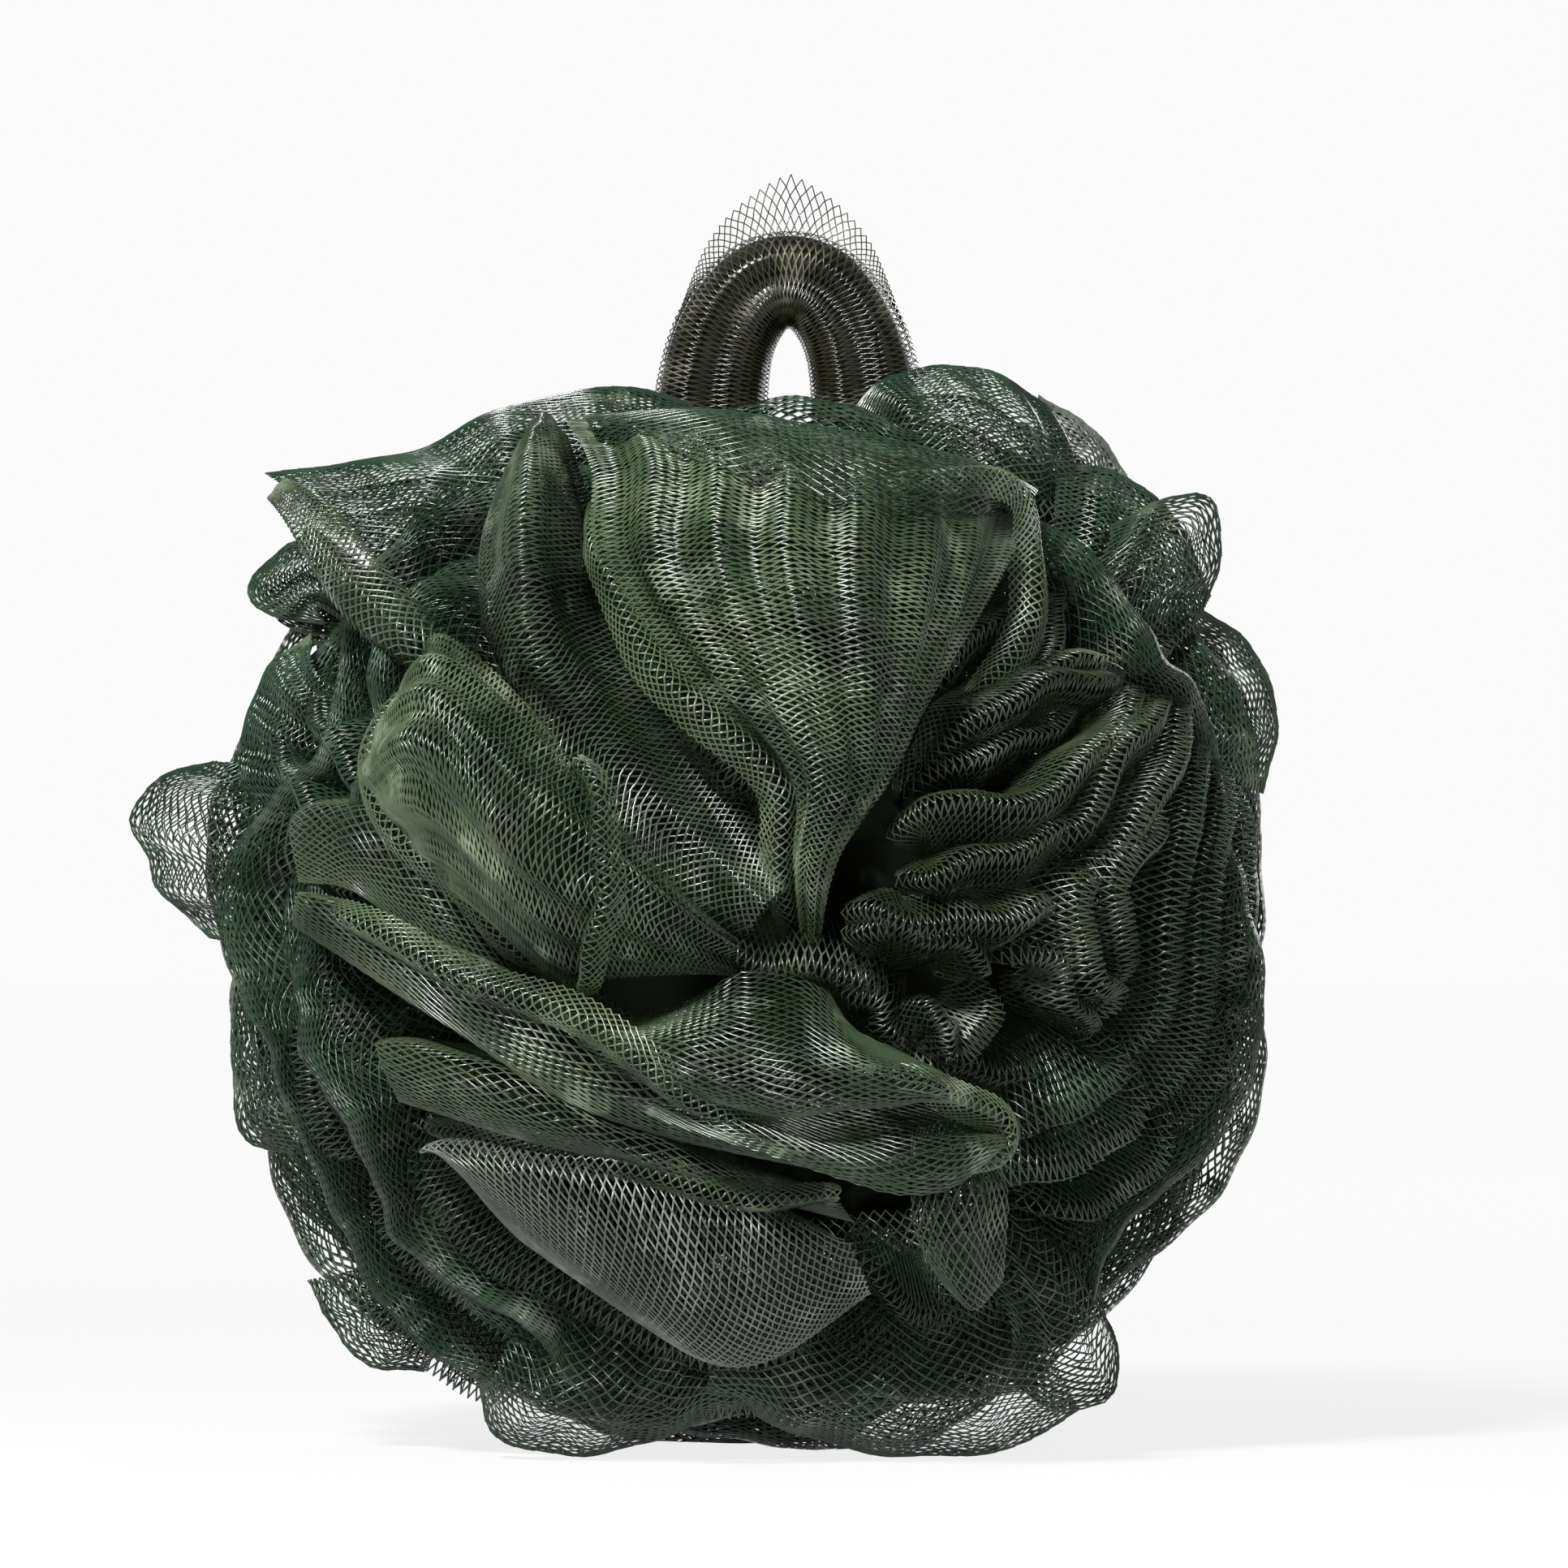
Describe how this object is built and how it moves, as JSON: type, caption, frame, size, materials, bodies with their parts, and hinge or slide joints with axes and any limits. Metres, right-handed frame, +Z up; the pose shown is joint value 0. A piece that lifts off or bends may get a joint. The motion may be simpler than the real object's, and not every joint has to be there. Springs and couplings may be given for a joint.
{
  "type": "body sponge",
  "caption": "Gathered net body sponge: a ruffled ball of diamond netting tied at its middle, with a rolled net loop on top to hang it by.",
  "frame": {"origin": "under the middle of the whole sponge, on the surface that it stands on", "axes": "+Z up through the hanging loop, -Y towards the front, where the netting gathers, +X to the right of it"},
  "size_m": [0.1356, 0.1272, 0.1505],
  "materials": {
    "green_net": "extruded polyethylene netting, dark green with sage highlights",
    "olive_net": "rolled polyethylene netting, olive brown with pale glints",
    "dark_cord": "dark twisted cord"
  },
  "bodies": {
    "root": {"netting": "green_net", "hanging_loop": "olive_net", "tie_cord": "dark_cord"}
  },
  "joints": []
}
